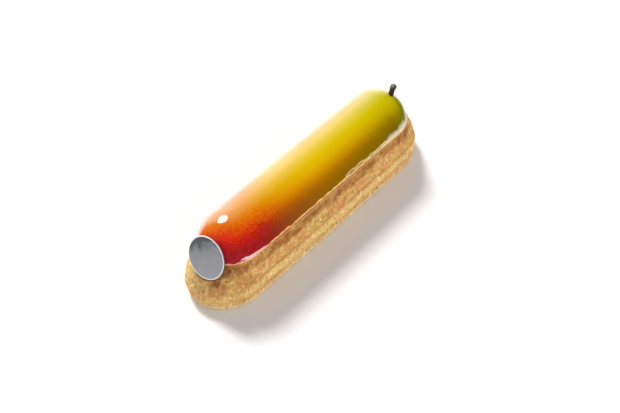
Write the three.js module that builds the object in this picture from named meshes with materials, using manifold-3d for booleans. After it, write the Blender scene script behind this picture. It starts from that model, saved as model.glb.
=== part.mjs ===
// A glazed eclair: a piped choux base that lies flat, a half-round glazed dome along its top,
// a short stalk stuck in the far end of the dome and a thin round plaque leaning on the near end.
// Millimetres, +Z up. X runs along the eclair, from the plaque (-X) to the stalk (+X).
// The origin is on the surface that the eclair lies on, under the middle of its outline.
import * as THREE from "three";
import Module from "manifold-3d";
import { ParametricGeometry } from "three/addons/geometries/ParametricGeometry.js";
import { mergeVertices } from "three/addons/utils/BufferGeometryUtils.js";

// Driving dimensions
const LENGTH = 140;
const WIDTH = 34.6;
const SEAT_HEIGHT = 25.7;
const CROWN_HEIGHT = 39.9;
const GAP = 0.3;
// How much wider the choux and the dome are halfway along than at their ends
const BULGE = 0.025;
// The top sags towards both ends: the drop over a whole length, and the place along X that is highest
const SAG = 3.5;
const SAG_PEAK = -11;

// Choux: how far each feature of the wall lies inside the widest line, and its height
const FOOT = { inset: 0.7, height: 0 };
const LIP = { inset: 0, height: 1.3 };
const CREASE = { inset: 0.5, height: 3.2 };
const RIDGE = { inset: 0, height: 7.5 };
const GROOVE = { inset: 0.75, height: 11.5 };
const BELLY = { inset: 0.6, height: 14 };
const SHOULDER = { inset: 1.5, height: 20 };
const RIM = { inset: 2.3, height: SEAT_HEIGHT };
// Choux ends: plan length of each round end, its lean back at the rim, and the tuck at the near foot
const NEAR_CAP = 21.2;
const FAR_CAP = 17.8;
const NEAR_LEAN = 5.8;
const FAR_LEAN = 3.8;
const NEAR_LEAN_POWER = 1.15;
const FAR_LEAN_POWER = 2;
const NEAR_TUCK = 0.3;
// Choux swellings: soft lumps left by piping and baking, as waves along and around the base
const LUMPS = [
  { size: 0.1, alongX: 0.21, alongY: 0.35, alongZ: 0.1, phase: 0.7 },
  { size: 0.08, alongX: 0.37, alongY: -0.22, alongZ: 0.25, phase: 2.9 },
  { size: 0.05, alongX: 0.58, alongY: 0.41, alongZ: -0.4, phase: 4.6 },
];

// Dome: plan size, where its tips are, how far it sits off the middle, and the rolled bead at its foot
const DOME_HALF_WIDTH = 14.4;
const DOME_NEAR_TIP = -61.1;
const DOME_FAR_TIP = 64;
const DOME_NEAR_CAP = 16.1;
const DOME_FAR_CAP = 15;
const DOME_SHIFT = 0.2;
const BEAD_REACH = 0.4;
const BEAD_HEIGHT = 1.1;
const BEAD_ROLL = 0.75 * Math.PI;

// Stalk: a tapered rod that leans outwards in a socket of the dome
const STALK_RADIUS = 1.15;
const STALK_TIP_RADIUS = 1.35;
const STALK_TIP_ROUND = 0.35;
const STALK_SHOWING = 5.2;
const STALK_SUNK = 2.6;
const STALK_BASE = new THREE.Vector3(56.6, -2.6, 36.5);
const STALK_LEAN = THREE.MathUtils.degToRad(20);
const STALK_SIDES = 16;

// Plaque: a thin disc, pressed a little way into the dome and hanging clear of the choux
const PLAQUE_RADIUS = 9.9;
const PLAQUE_THICKNESS = 0.8;
const PLAQUE_EDGE = 0.2;
const PLAQUE_FACE = new THREE.Vector3(-61.9, -1.3, 27.9);
const PLAQUE_LEAN = THREE.MathUtils.degToRad(25);
const PLAQUE_TURN = THREE.MathUtils.degToRad(1.8);
const PLAQUE_SIDES = 64;
const PLAQUE_CUT_DEPTH = 6;

// Finishes: matte crust and stalk, satin plaque and wet glaze
const CHOUX_FINISH = { color: 0xc49a5e, roughness: 0.75 };
const DOME_FINISH = { color: 0xdda012, roughness: 0.12 };
const STALK_FINISH = { color: 0x5a4a3c, roughness: 0.8 };
const PLAQUE_FINISH = { color: 0x85888c, roughness: 0.45 };

// Mesh fineness: stations around an outline and levels up a wall
const SIDE_STATIONS = 40;
const CAP_STATIONS = 22;
const WALL_LEVELS = 26;
const DOME_LEVELS = 15;
const DOME_LEVEL_POWER = 1.25;
const MERGE_DISTANCE = 1e-4;

const wasm = await Module();
wasm.setup();

// One turn round a long outline with half-oval ends: the near end, the -Y side, the far end, the +Y side.
function outlineStations() {
  const stations = [];
  for (let i = 0; i < CAP_STATIONS; i += 1) {
    stations.push({ part: "near", share: i / CAP_STATIONS });
  }
  for (let i = 0; i < SIDE_STATIONS; i += 1) {
    stations.push({ part: "right", share: i / SIDE_STATIONS });
  }
  for (let i = 0; i < CAP_STATIONS; i += 1) {
    stations.push({ part: "far", share: i / CAP_STATIONS });
  }
  for (let i = 0; i < SIDE_STATIONS; i += 1) {
    stations.push({ part: "left", share: i / SIDE_STATIONS });
  }
  return stations;
}

// The point of one station on a level's outline.
function outlinePoint(station, level, target) {
  const nearCentre = level.nearTip + level.nearCap;
  const farCentre = level.farTip - level.farCap;
  const turn = Math.PI * (0.5 + station.share);
  if (station.part === "near") {
    target.set(nearCentre + level.nearCap * Math.cos(turn), level.halfWidth * Math.sin(turn), level.z);
  } else if (station.part === "right") {
    target.set(THREE.MathUtils.lerp(nearCentre, farCentre, station.share), -level.halfWidth, level.z);
  } else if (station.part === "far") {
    target.set(farCentre - level.farCap * Math.cos(turn), -level.halfWidth * Math.sin(turn), level.z);
  } else {
    target.set(THREE.MathUtils.lerp(farCentre, nearCentre, station.share), level.halfWidth, level.z);
  }
  return target;
}

// Merges shared vertices and drops the faces that collapse on the spine.
function closedMesh(geometry) {
  geometry.deleteAttribute("normal");
  geometry.deleteAttribute("uv");
  const merged = mergeVertices(geometry, MERGE_DISTANCE);
  const kept = [];
  for (let i = 0; i < merged.index.count; i += 3) {
    const [a, b, c] = merged.index.array.slice(i, i + 3);
    if (a !== b && b !== c && a !== c) {
      kept.push(a, b, c);
    }
  }
  merged.setIndex(kept);
  return merged;
}

// A closed skin through a stack of levels, whose first and last levels are a line on the spine.
function skinLevels(levels, swell) {
  const stations = outlineStations();
  const surface = (u, v, target) => {
    const station = stations[Math.round(u * stations.length) % stations.length];
    const level = levels[Math.round(v * (levels.length - 1))];
    outlinePoint(station, level, target);
    swell(target, level);
  };
  return closedMesh(new ParametricGeometry(surface, stations.length, levels.length - 1));
}

function solidOf(geometry) {
  const vertProperties = new Float32Array(geometry.getAttribute("position").array);
  const triVerts = new Uint32Array(geometry.index.array);
  return new wasm.Manifold(new wasm.Mesh({ numProp: 3, vertProperties, triVerts }));
}

function geometryOf(solid) {
  const mesh = solid.getMesh();
  const geometry = new THREE.BufferGeometry();
  geometry.setAttribute("position", new THREE.BufferAttribute(mesh.vertProperties, 3));
  geometry.setIndex(new THREE.BufferAttribute(mesh.triVerts, 1));
  geometry.computeVertexNormals();
  return geometry;
}

// A solid of revolution, from a profile of (radius, height) points that starts and ends on the axis.
function turned(points, sides) {
  const profile = points.map(([radius, height]) => new THREE.Vector2(radius, height));
  return closedMesh(new THREE.LatheGeometry(profile, sides)).rotateX(Math.PI / 2);
}

// A level of the choux wall: the outline at one inset and height, with its ends drawn in at rim and foot.
function chouxLevel(inset, height) {
  const rise = THREE.MathUtils.clamp((height - RIDGE.height) / (RIM.height - RIDGE.height), 0, 1);
  const tuck = NEAR_TUCK * Math.max(0, 1 - height / RIDGE.height);
  const halfWidth = WIDTH / 2 - inset;
  const share = halfWidth / (WIDTH / 2);
  const nearCap = NEAR_CAP * share;
  const farCap = FAR_CAP * share;
  return {
    halfWidth,
    nearCap,
    farCap,
    nearTip: -LENGTH / 2 + NEAR_CAP - nearCap + NEAR_LEAN * rise ** NEAR_LEAN_POWER + tuck,
    farTip: LENGTH / 2 - FAR_CAP + farCap - FAR_LEAN * rise ** FAR_LEAN_POWER,
    z: height,
    swelling: Math.min(1, height / RIDGE.height),
  };
}

// The flat inside of a level: the same ends drawn in to a line on the spine.
function spineLevel(edge) {
  return {
    halfWidth: 0,
    nearCap: 0,
    farCap: 0,
    nearTip: edge.nearTip + edge.nearCap,
    farTip: edge.farTip - edge.farCap,
    z: edge.z,
    swelling: 0,
  };
}

// The bulge at a place along the eclair, as a factor on the width there.
function bulgeAt(x) {
  return 1 + BULGE * Math.cos((Math.PI * x) / LENGTH);
}

// How far the top has sagged at a place along the eclair.
function sagAt(x) {
  return SAG * ((x - SAG_PEAK) / LENGTH) ** 2;
}

function swellChoux(point, level) {
  let swelling = 0;
  for (const lump of LUMPS) {
    const wave = lump.alongX * point.x + lump.alongY * point.y + lump.alongZ * point.z + lump.phase;
    swelling += lump.size * Math.sin(wave);
  }
  const growth = bulgeAt(point.x) + (swelling * level.swelling) / (WIDTH / 2);
  point.y *= growth;
  point.z *= 1 - sagAt(point.x) / SEAT_HEIGHT;
}

function makeChoux() {
  const features = [FOOT, LIP, CREASE, RIDGE, GROOVE, BELLY, SHOULDER, RIM];
  const wall = new THREE.SplineCurve(features.map(({ inset, height }) => new THREE.Vector2(inset, height)));
  const levels = wall.getSpacedPoints(WALL_LEVELS).map((point) => chouxLevel(point.x, point.y));
  const stack = [spineLevel(levels[0]), ...levels, spineLevel(levels[WALL_LEVELS])];
  const geometry = skinLevels(stack, swellChoux);
  geometry.computeBoundingBox();
  const middle = geometry.boundingBox.getCenter(new THREE.Vector3());
  return geometry.translate(-middle.x, -middle.y, 0);
}

// A level of the dome: an oval in section, with the bead added to its lowest levels.
function domeLevel(angle) {
  const base = SEAT_HEIGHT + GAP;
  const height = (CROWN_HEIGHT - base) * Math.sin(angle);
  const beadShare = Math.max(0, 1 - height / BEAD_HEIGHT);
  const bead = BEAD_REACH * Math.sin(BEAD_ROLL * Math.sqrt(beadShare));
  const share = Math.cos(angle);
  const nearCap = DOME_NEAR_CAP * share;
  const farCap = DOME_FAR_CAP * share;
  return {
    halfWidth: DOME_HALF_WIDTH * share + bead,
    nearCap: nearCap + bead,
    farCap: farCap + bead,
    nearTip: DOME_NEAR_TIP + DOME_NEAR_CAP - nearCap - bead,
    farTip: DOME_FAR_TIP - DOME_FAR_CAP + farCap + bead,
    z: base + height,
  };
}

function swellDome(point) {
  point.y = DOME_SHIFT + point.y * bulgeAt(point.x);
  point.z -= sagAt(point.x);
}

function makeDome() {
  const levels = [];
  for (let i = 0; i <= DOME_LEVELS; i += 1) {
    const share = i / DOME_LEVELS;
    levels.push(domeLevel((Math.PI / 2) * share ** DOME_LEVEL_POWER));
  }
  return skinLevels([spineLevel(levels[0]), ...levels], swellDome);
}

// The stalk stands on its own axis, with its sunk end below the group's origin.
function makeStalk(clearance) {
  const foot = -STALK_SUNK - clearance;
  const top = STALK_SHOWING;
  return turned(
    [
      [0, foot],
      [STALK_RADIUS + clearance, foot],
      [STALK_RADIUS + clearance, 0],
      [STALK_TIP_RADIUS + clearance, top - STALK_TIP_ROUND],
      [STALK_TIP_RADIUS - STALK_TIP_ROUND, top],
      [0, top],
    ],
    STALK_SIDES,
  );
}

// The plaque lies with its face at the group's origin, looking along the group's +Z.
function makePlaque() {
  const back = -PLAQUE_THICKNESS;
  return turned(
    [
      [0, back],
      [PLAQUE_RADIUS - PLAQUE_EDGE, back],
      [PLAQUE_RADIUS, back + PLAQUE_EDGE],
      [PLAQUE_RADIUS, -PLAQUE_EDGE],
      [PLAQUE_RADIUS - PLAQUE_EDGE, 0],
      [0, 0],
    ],
    PLAQUE_SIDES,
  );
}

// The room that the plaque takes: its own outline with a gap all round, and everything in front of it.
function makePlaqueRoom() {
  const back = -PLAQUE_THICKNESS - GAP;
  return turned(
    [
      [0, back],
      [PLAQUE_RADIUS + GAP, back],
      [PLAQUE_RADIUS + GAP, PLAQUE_CUT_DEPTH],
      [0, PLAQUE_CUT_DEPTH],
    ],
    PLAQUE_SIDES,
  );
}

function namedMesh(name, geometry, finish) {
  const mesh = new THREE.Mesh(geometry, new THREE.MeshStandardMaterial({ ...finish, metalness: 0 }));
  mesh.name = name;
  return mesh;
}

const stalkGroup = new THREE.Group();
stalkGroup.position.copy(STALK_BASE);
stalkGroup.rotation.set(0, STALK_LEAN, 0);
stalkGroup.updateMatrix();

const plaqueGroup = new THREE.Group();
plaqueGroup.position.copy(PLAQUE_FACE);
plaqueGroup.rotation.set(0, PLAQUE_LEAN - Math.PI / 2, PLAQUE_TURN, "ZYX");
plaqueGroup.updateMatrix();

const plaqueRoom = solidOf(makePlaqueRoom().applyMatrix4(plaqueGroup.matrix));
const stalkSocket = solidOf(makeStalk(GAP).applyMatrix4(stalkGroup.matrix));
const chouxSolid = solidOf(makeChoux()).subtract(plaqueRoom);
const domeSolid = solidOf(makeDome()).subtract(plaqueRoom).subtract(stalkSocket);

stalkGroup.add(namedMesh("stalk", makeStalk(0), STALK_FINISH));
plaqueGroup.add(namedMesh("plaque", makePlaque(), PLAQUE_FINISH));

const eclair = new THREE.Group();
eclair.add(namedMesh("choux", geometryOf(chouxSolid), CHOUX_FINISH));
eclair.add(namedMesh("glaze_dome", geometryOf(domeSolid), DOME_FINISH));
eclair.add(stalkGroup);
eclair.add(plaqueGroup);

export default eclair;
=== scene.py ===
"""Looks for a glazed eclair: a freckled choux base, a sprayed mirror-glazed dome, a stalk and a bare plaque.

The CAD frame gives the sizes and places. Lengths below are millimetres, and metres only in Blender itself.
X runs along the eclair from the plaque to the stalk, and -Y is the side that the camera sees.
A pair of values is a range over which something grows from nothing to full.
A name that ends in NOISE holds the size of the noise's features, its octaves or detail, and its seed.
"""
import math

import bmesh
import bpy
import numpy as np
from mathutils import Matrix, Vector, noise


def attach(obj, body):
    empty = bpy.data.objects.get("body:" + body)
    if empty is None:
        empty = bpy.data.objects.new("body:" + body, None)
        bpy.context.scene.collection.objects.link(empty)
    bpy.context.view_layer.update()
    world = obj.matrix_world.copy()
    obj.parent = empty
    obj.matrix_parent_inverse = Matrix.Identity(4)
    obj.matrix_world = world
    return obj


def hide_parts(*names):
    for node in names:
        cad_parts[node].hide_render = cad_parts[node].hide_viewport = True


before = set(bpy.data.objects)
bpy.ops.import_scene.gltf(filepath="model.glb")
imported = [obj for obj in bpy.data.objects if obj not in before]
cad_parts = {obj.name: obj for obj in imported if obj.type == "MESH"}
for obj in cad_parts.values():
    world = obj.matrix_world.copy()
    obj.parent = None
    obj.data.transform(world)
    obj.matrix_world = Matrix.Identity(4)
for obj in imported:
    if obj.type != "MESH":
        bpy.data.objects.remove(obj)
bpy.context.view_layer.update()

MM = 0.001
SEED = 20
NOISE_FALL, NOISE_GAP = 1.0, 2.0
WELD_DISTANCE = 1e-7
TINY = 1e-9
FLAT = (1, 1, 0)

# Camera, fitted to the photograph's outlines, for an image of this width in pixels. Angles are degrees.
IMAGE_WIDTH = 620
SENSOR_WIDTH = 36.0
FOCAL_PIXELS = 1332.0
CAMERA_AZIMUTH = -47.6
CAMERA_ELEVATION = 51.7
CAMERA_DISTANCE = 618.5
CAMERA_TARGET = Vector((4.58, 0.03, 0.0))
CAMERA_CLIP = 10.0

# Lights: a soft key far off, high behind the far side, and a weak fill low in front
KEY_AZIMUTH = 75
KEY_ELEVATION = 52
KEY_DISTANCE = 6000.0
KEY_SIZE = 1540.0
KEY_POWER = 300.0
FILL_AZIMUTH = -92
FILL_ELEVATION = 11
FILL_DISTANCE = 1200.0
FILL_SIZE = 450.0
FILL_POWER = 5.3
AMBIENT = 0.44
AMBIENT_TINT = (1.0, 0.98, 1.0, 1.0)

# What gloss mirrors: the azimuth and elevation of an axis, the angles off it at which the glow starts and is
# full, and its strength. A gleam, the key's round diffuser, a dim backdrop and the lit floor behind
GLEAM = (58.7, 52, 34.5, 4, 1.5)
DIFFUSER = (85, 50, 14.5, 11, 40.0)
BACKDROP = (0, 0, 90, 120, 0.25)
LIT_FLOOR = (12, -52, 42, 18, 0.45)
# A tall soft panel with a stop at one side, both measured level, and its fades towards the top and the foot
PANEL = (80, 0, 80, 3, 7.5)
PANEL_STOP = (45, 0, 67, 40, 1.0)
PANEL_TOP = (-68, 65, 31.788, 90, 1.0)
PANEL_FOOT = (0, 90, 180, 95.739, 1.0)

# Floor, a hair below the underside
FLOOR_SIZE = 4000.0
FLOOR_DROP = 0.05
FLOOR_COLOR = (0.93, 0.93, 0.93, 1.0)
FLOOR_ROUGHNESS = 0.9

# Whole eclair: it is widest halfway along, and its top sags towards both ends
LENGTH = 140.0
BULGE = 0.025
SAG, SAG_PEAK = 3.5, -11.0

# Choux: its smooth wall from the foot up, as inset from the widest line and height
CHOUX_HALF_WIDTH = 17.3
SEAT_HEIGHT = 25.7
WALL = (
    (0.7, 0.0),
    (0.2, 1.3),
    (0.15, 4.0),
    (0.15, 7.5),
    (0.3, 11.5),
    (0.65, 15.0),
    (1.45, 20.0),
    (2.3, SEAT_HEIGHT),
)
# Its top from the rim inwards, as share of the rim's half-width and rise from the seat
CHOUX_TOP = ((0.97, 0.0), (0.93, -0.4), (0.5, -0.4), (0.0, -0.4))
# Its round ends: their lengths, how far each leans back from the ridge up, and the tuck at the near foot
RIDGE_HEIGHT = 7.5
NEAR_CAP, FAR_CAP = 21.2, 17.8
NEAR_LEAN, FAR_LEAN = 5.8, 3.8
NEAR_LEAN_POWER, FAR_LEAN_POWER = 1.15, 2.0
NEAR_TUCK = 1.3

# Lines piped along the wall: height, half-height, rise, how far each wanders, and its share at the near end
LIP = (1.6, 1.0, 0.2, 0.15, 1.0)
CREASE = (3.9, 0.6, -0.25, 0.3, 0.7)
RIDGE = (8.4, 2.6, 0.3, 0.5, 0.35)
GROOVE = (11.8, 1.0, -0.5, 0.7, 0.35)
UPPER_GROOVE = (17.0, 1.2, -0.16, 1.2, 0.35)
LINES = (LIP, CREASE, RIDGE, GROOVE, UPPER_GROOVE)
LINE_NEAR = (-66.0, -44.0)
LINE_FOOT = (0.0, 0.6)
LINE_STRENGTH, LINE_BREAK = 0.85, 0.45
LINE_WANDER_SIZE, LINE_BREAK_SIZE, LINE_OCTAVES = 22.0, 14.0, 2
LINE_SEED_STEP, LINE_BREAK_SEED = 11.0, 7.0
# How much the crease and the upper groove are tinted as the groove is
CREASE_TINT, UPPER_TINT = 0.35, 0.4

# Crust relief: feature size, octaves and height
LUMPS = (10.0, 2, 0.3)
KNOBS = (3.2, 2, 0.2)
GRAIN = (1.25, 2, 0.12)
RELIEF_SEED_STEP = 31.0
PIT_COUNT, PIT_RADIUS, PIT_DEPTH = 300, (0.35, 0.85), (0.12, 0.38)
BLISTER_COUNT, BLISTER_RADIUS, BLISTER_RISE = 260, (0.7, 1.9), (0.08, 0.26)
BUMP_POWER = 1.5
# Heights over which the relief grows from the foot and is mostly lost at the rim
RELIEF_FOOT = (0.0, 2.2)
RELIEF_RIM, RELIEF_RIM_LOSS = (22.7, 24.2), 0.8
UNDERSIDE_DENT, UNDERSIDE_NOISE, UNDERSIDE_FADE_POWER = 0.25, (7.0, 3, 90.0), 0.3
# Where the oven browned the crust most: place, radius and strength
SCORCHES = (
    ((-57.4, -10.5, 23.3), 6.0, 0.9),
    ((-63.7, -8.3, 15.9), 4.9, 0.95),
    ((-54.5, -15.0, 17.2), 5.0, 0.5),
    ((-57.5, -15.2, 10.8), 4.5, 0.28),
    ((-67.0, -1.5, 13.0), 6.5, 0.22),
    ((53.0, -15.8, 19.5), 5.0, 0.4),
    ((52.5, -17.3, 9.5), 5.0, 0.2),
)
# Where it is palest, in the same columns; the three at the near end are partly painted light, lighting that
# end more than its lamps do
PALE_AND_LIT_PATCHES = (
    ((-64.0, 8.0, 12.0), 13.0, 0.85),
    ((-67.0, -7.0, 4.0), 6.0, 0.6),
    ((-69.7, -1.5, 7.0), 4.5, 0.7),
    ((66.0, -6.0, 9.0), 9.0, 0.35),
    ((60.0, -11.5, 23.0), 5.5, 0.5),
)

# Dome: its size, its tips, the lengths of its round ends, its shift off the middle and its faint waves
DOME_HALF_WIDTH = 14.4
DOME_CROWN = 39.9
DOME_NEAR_TIP, DOME_FAR_TIP = -60.7, 63.6
DOME_NEAR_CAP, DOME_FAR_CAP = 16.1, 15.0
DOME_SHIFT = 0.2
DOME_WAVE, DOME_WAVE_NOISE, DOME_WAVE_START = 0.05, (9.0, 2, 81.0), (0.0, 2.0)
# The rows of its flat underside, as shares of its half-width
DOME_UNDER = (0.0, 0.9)
# The pale bead round its foot: its rise, where that grows along X, its wave and its soft, ragged edge
BEAD_RISE, BEAD_FAR_RISE, BEAD_GROWTH = 0.8, 1.9, (42.0, 60.0)
BEAD_WAVE, BEAD_WAVE_NOISE = 0.6, (3.6, 2, 51.0)
BEAD_SOFT, BEAD_RAGGED, BEAD_RAGGED_NOISE = 0.14, 0.12, (0.9, 2, 73.0)
# How far the gathered glaze reaches out, where it reaches furthest, and how it rolls under and fades upwards
SKIRT_REACH, SKIRT_FAR_REACH = 0.6, 1.1
SKIRT_GROWTH, SKIRT_FRONT = (44.0, 57.0), (8.0, 11.5)
SKIRT_WAVE, SKIRT_WAVE_NOISE = 0.16, (5.0, 2, 63.0)
SKIRT_ROLL, SKIRT_UNDERCUT, SKIRT_FADE = 0.45, 0.5, 0.8
# The film above the bead: its thickness, and its soft, ragged edge
FILM_THICKNESS = 0.1
FILM_SOFT, FILM_RAGGED, FILM_RAGGED_NOISE = 0.1, 0.3, (1.2, 2, 71.0)
# The drip line: its rise, mean level, wave, where it starts along X, and the film under it and on it
DRIP_RISE, DRIP_LEVEL, DRIP_START, DRIP_COVER = 2.4, 0.75, (8.0, 18.0), 0.2
DRIP_WAVE, DRIP_NOISE = 0.55, (7.0, 2, 57.0)
DRIP_EDGE, DRIP_EDGE_COVER, DRIP_SHOWN = 0.38, 0.95, (0.3, 0.6)
# A brushed wedge at the near end: where it falls away, where it is highest, its tail, its rise and its cover
WEDGE_TIP, WEDGE_PEAK, WEDGE_TAIL = -54.2, -50.5, -37.5
WEDGE_RISE, WEDGE_COVER, WEDGE_SHOWN = 2.6, 0.92, (0.1, 0.3)
# The bare slot that forks the wedge's tip: where it ends, how it opens, its rise and its half-height
FORK_END, FORK_OPENING, FORK_RISE, FORK_SIZE = -50.0, (0.0, 1.5), 1.2, 0.3
# The pool at the far end: its middle, half-length, rise, wave and end, and how its cover fades upwards
POOL_PLACE, POOL_WIDTH, POOL_RISE, POOL_END = 48.0, 9.5, 4.2, (54.0, 60.0)
POOL_WAVE, POOL_NOISE = 0.9, (5.0, 2, 59.0)
POOL_COVER, POOL_FADE, POOL_SHOWN, POOL_LEAST = 0.88, (0.35, 1.15), (0.3, 1.2), 0.1
# The spray is lighter on the +Y side at the near end and deeper there at the far end: how far, and where
SPRAY_LEAN, SPRAY_NEAR, SPRAY_NEAR_BACK = 0.46, (-54.0, -30.0), (-4.0, 8.0)
SPRAY_DEEPER, SPRAY_FAR, SPRAY_FAR_BACK = 0.2, (-20.0, 8.0), (-1.0, 6.0)
# How much less the painted shade darkens the spray low down on the +Y side, and where that starts across Y
SHADE_LESS, SHADE_BACK = 0.85, (2.0, 9.0)

# Stalk: a rod that flares to its cut end
STALK_BASE = Vector((56.6, -2.6, 36.5))
STALK_LEAN = math.radians(20)
STALK_RADIUS, STALK_TIP_RADIUS, STALK_FLARE = 1.15, 1.35, (0.55, 0.95)
STALK_SHOWING, STALK_SUNK = 5.2, 2.6
STALK_BEND = 0.25
# Its cut end: where the rod stops, the rounding's size, drop and angles, and the cut's inset and hollow
STALK_ROD_DROP = 0.2
STALK_ROUND, STALK_ROUND_DROP, STALK_ROUND_ANGLES = 0.25, 0.22, (20, 80)
STALK_CUT_INSET, STALK_CUT_HOLLOW = 0.35, 0.12
# Its fibres, its roughness, the chips in its cut end and the side on which that end is pale, as painted
# light
STALK_FIBRES, STALK_FIBRE_DEPTH, STALK_FIBRE_NOISE = 9, 0.07, (1.4, 2, 9.0)
STALK_TWIST = 0.5
STALK_ROUGH, STALK_ROUGH_NOISE = 0.12, (0.9, 3, 17.0)
STALK_CHIP, STALK_CHIP_NOISE, STALK_CHIP_PLACE = 0.15, (0.8, 2, 23.0), (0.9, 1.0)
STALK_LIT_TURN = math.radians(132)

# Plaque: a thin disc with a rounded edge, a white rim and a face set a little way in
PLAQUE_FACE = Vector((-61.87, -0.65, 27.33))
PLAQUE_LEAN = math.radians(25)
PLAQUE_TURN = math.radians(1.8)
PLAQUE_RADIUS = 9.9
PLAQUE_THICKNESS = 0.8
PLAQUE_EDGE, PLAQUE_BACK_ANGLES, PLAQUE_FRONT_ANGLES = 0.2, (-80, 0), (0, 90)
PLAQUE_RIM, PLAQUE_WHITE_DEPTH = 0.45, 0.2
PLAQUE_RECESS, PLAQUE_STEP, PLAQUE_STEP_TOP, PLAQUE_FACE_INSET = 0.06, 0.06, 0.01, 0.3
PLAQUE_WOBBLE, PLAQUE_WOBBLE_NOISE, PLAQUE_WOBBLE_START = 0.04, (4.0, 2, 5.0), 0.9
# How far the crust and the glaze stay behind it, and how that ends past its edge
PLAQUE_SEAT, PLAQUE_CLEAR = 0.05, (-0.2, 0.6)
# The painted shadow line on the crust along its edge: its reach past the edge and its depth
SHADOW_LINE_REACH, SHADOW_LINE_DEPTH = (0.8, 2.2), 7.0

# Mesh fineness
SPLINE_STEPS = 60
CHOUX_SIDE, CHOUX_CAP = 270, 160
CHOUX_UNDER, CHOUX_WALL = 12, 80
DOME_SIDE, DOME_CAP = 260, 120
DOME_FOOT_LEVELS, DOME_LEVELS = 32, 58
DOME_FOOT_TOP = 4.4
PLAQUE_SIDES = 160
PLAQUE_BACK_ROWS, PLAQUE_EDGE_ROWS, PLAQUE_FACE_ROWS = 8, 7, 24
STALK_SIDES, STALK_LEVELS = 72, 60
STALK_ROUND_ROWS, STALK_CUT_ROWS = 5, 8


def srgb(red, green, blue):
    """A linear colour from 0 to 255 display values."""
    display = np.array((red, green, blue)) / 255.0
    linear = np.where(display <= 0.04045, display / 12.92, ((display + 0.055) / 1.055) ** 2.4)
    return (*linear.tolist(), 1.0)


# Shape helpers


def smoothstep(value, low, high):
    """How far a value has gone from low to high, with soft ends."""
    share = np.clip((value - low) / (high - low), 0, 1)
    return share * share * (3 - 2 * share)


def hump(distance):
    """A bell curve: one at no distance, and almost nothing at two."""
    return np.exp(-(distance**2))


def bulge(x):
    """How much wider the eclair is at x than at its ends."""
    return 1 + BULGE * np.cos(np.pi * x / LENGTH)


def sag(x):
    """How far the eclair's top lies below its peak at x."""
    return SAG * ((x - SAG_PEAK) / LENGTH) ** 2


def outline(near_tip, far_tip, near_cap, far_cap, half_width, side, cap):
    """Points round long outlines with half-oval ends, a row for each value in the arrays."""
    turn = np.pi * (0.5 + np.arange(cap) / cap)
    share = np.arange(side) / side
    near = (near_tip + near_cap)[:, None]
    far = (far_tip - far_cap)[:, None]
    width = half_width[:, None]
    x = [near + near_cap[:, None] * np.cos(turn), near + (far - near) * share]
    x += [far - far_cap[:, None] * np.cos(turn), far + (near - far) * share]
    y = [width * np.sin(turn), -width + 0 * share]
    y += [-width * np.sin(turn), width + 0 * share]
    return np.hstack(x), np.hstack(y)


def spline(points, count):
    """Evenly spaced points on a smooth curve through a few points."""
    padded = np.vstack((2 * points[0] - points[1], points, 2 * points[-1] - points[-2]))
    fine = []
    for a, b, c, d in zip(padded, padded[1:], padded[2:], padded[3:]):
        t = np.linspace(0, 1, SPLINE_STEPS, endpoint=False)[:, None]
        fine.append(b + 0.5 * t * (c - a + t * (2 * a - 5 * b + 4 * c - d + t * (3 * (b - c) + d - a))))
    fine = np.vstack((*fine, points[-1]))
    along = np.concatenate(([0], np.cumsum(np.linalg.norm(np.diff(fine, axis=0), axis=1))))
    wanted = np.linspace(0, along[-1], count)
    return np.column_stack([np.interp(wanted, along, fine[:, k]) for k in range(fine.shape[1])])


def unit(vectors):
    """Vectors brought to a length of one, along their last axis."""
    return vectors / np.maximum(np.linalg.norm(vectors, axis=-1, keepdims=True), TINY)


def grid_normals(points):
    """Outward unit normals of a grid of levels by stations that closes on itself round the stations."""
    around = np.roll(points, -1, axis=1) - np.roll(points, 1, axis=1)
    upward = np.gradient(points, axis=0)
    return unit(np.cross(around, upward))


def grid_faces(levels, stations):
    """Corner numbers of the four-sided faces of such a grid."""
    index = np.arange(levels * stations).reshape(levels, stations)
    beside = np.roll(index, -1, axis=1)
    quads = np.stack((index[:-1], beside[:-1], beside[1:], index[1:]), axis=-1)
    return quads.reshape(-1, 4).tolist()


def noise_field(points, size, octaves, offset):
    """Fractal noise at points in millimetres, with features of about the given size."""
    places = points.reshape(-1, 3) / size + offset
    values = [noise.fractal(place, NOISE_FALL, NOISE_GAP, octaves) for place in places.tolist()]
    return np.array(values).reshape(points.shape[:-1])


def scatter(points, count, radius, height, rng):
    """Seeded round bumps on a grid of points: the highest bump at each point."""
    flat = points.reshape(-1, 3)
    total = np.zeros(len(flat))
    centres = flat[rng.integers(len(flat), size=count)]
    radii = rng.uniform(*radius, count)
    heights = rng.uniform(*height, count)
    for centre, size, rise in zip(centres, radii, heights):
        near = np.sum((flat - centre) ** 2, axis=1) / size**2
        total = np.maximum(total, rise * np.clip(1 - near, 0, None) ** BUMP_POWER)
    return total.reshape(points.shape[:2])


def weld(mesh):
    """Joins points that coincide, so that the rows that shrink to a line or a point close up."""
    work = bmesh.new()
    work.from_mesh(mesh)
    bmesh.ops.remove_doubles(work, verts=work.verts, dist=WELD_DISTANCE)
    bmesh.ops.dissolve_degenerate(work, edges=work.edges, dist=WELD_DISTANCE)
    work.to_mesh(mesh)
    work.free()


def mesh_object(name, points, attributes):
    """A smooth-shaded object from a grid of millimetre points, with float attributes on its points."""
    mesh = bpy.data.meshes.new(name)
    mesh.from_pydata((points.reshape(-1, 3) * MM).tolist(), [], grid_faces(*points.shape[:2]))
    for label, values in attributes.items():
        layer = mesh.attributes.new(label, "FLOAT", "POINT")
        layer.data.foreach_set("value", np.ascontiguousarray(values.ravel(), np.float32))
    weld(mesh)
    mesh.shade_smooth()
    made = bpy.data.objects.new(name, mesh)
    bpy.context.scene.collection.objects.link(made)
    return made


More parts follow.
